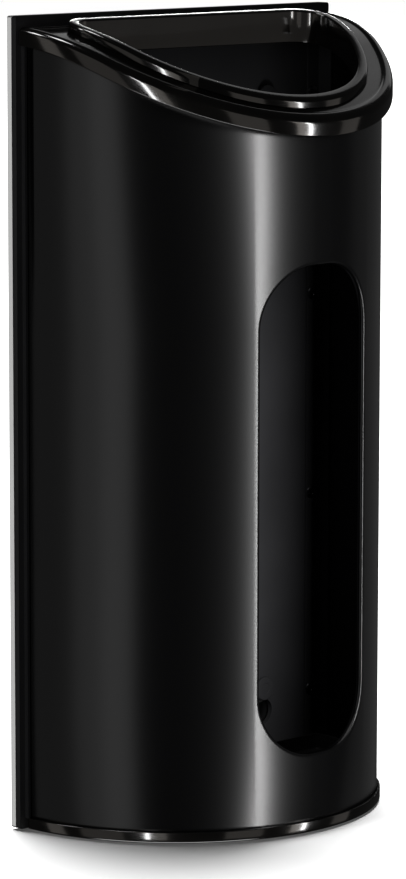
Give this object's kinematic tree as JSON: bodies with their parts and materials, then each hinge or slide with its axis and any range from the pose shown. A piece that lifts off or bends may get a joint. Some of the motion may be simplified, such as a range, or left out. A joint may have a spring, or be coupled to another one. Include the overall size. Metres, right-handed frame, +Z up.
{
  "type": "wall-hung ash and litter bin",
  "caption": "Half-round black wall bin with a sloping glossy rim, an open mouth, a tall front slot and a moulded base cap, hung on a grey wall plate.",
  "frame": {"origin": "middle of the four wall holes, on the wall face of the wall plate", "axes": "+Z up, +Y into the wall, +X to the right as seen from the front"},
  "size_m": [0.2104, 0.1105, 0.39],
  "materials": {
    "wall_metal": "satin",
    "zinc": "zinc plated",
    "nylon": "natural nylon",
    "panel_paint": "satin black powder coat",
    "shell_paint": "satin black paint on rolled sheet",
    "channel_paint": "satin black",
    "pan_steel": "matt black heat-proof paint",
    "rim_gloss": "high gloss black",
    "mouth_gloss": "high gloss black",
    "base_gloss": "high gloss black",
    "spring_steel": "spring steel"
  },
  "bodies": {
    "wall_mount": {"wall_plate": "wall_metal", "hanging_studs": "zinc", "stud_washers": "nylon"},
    "bin": {"back_panel": "panel_paint", "left_channel": "channel_paint", "right_channel": "channel_paint", "left_channel_rivets": "zinc", "right_channel_rivets": "zinc", "body_shell": "shell_paint", "floor_pan": "pan_steel", "base_cap": "base_gloss", "base_screws": "zinc"},
    "rim": {"top_rim": "rim_gloss", "mouth_ring": "mouth_gloss", "mouth_screws": "zinc", "rim_clips": "spring_steel"}
  },
  "joints": [
    {"name": "bin_lift", "type": "slide", "parent": "wall_mount", "child": "bin", "axis": [0, 0, 1], "range_m": [0, 0.012]},
    {"name": "rim_lift", "type": "slide", "parent": "bin", "child": "rim", "axis": [0, 0, 1], "range_m": [0, 0.06]}
  ]
}
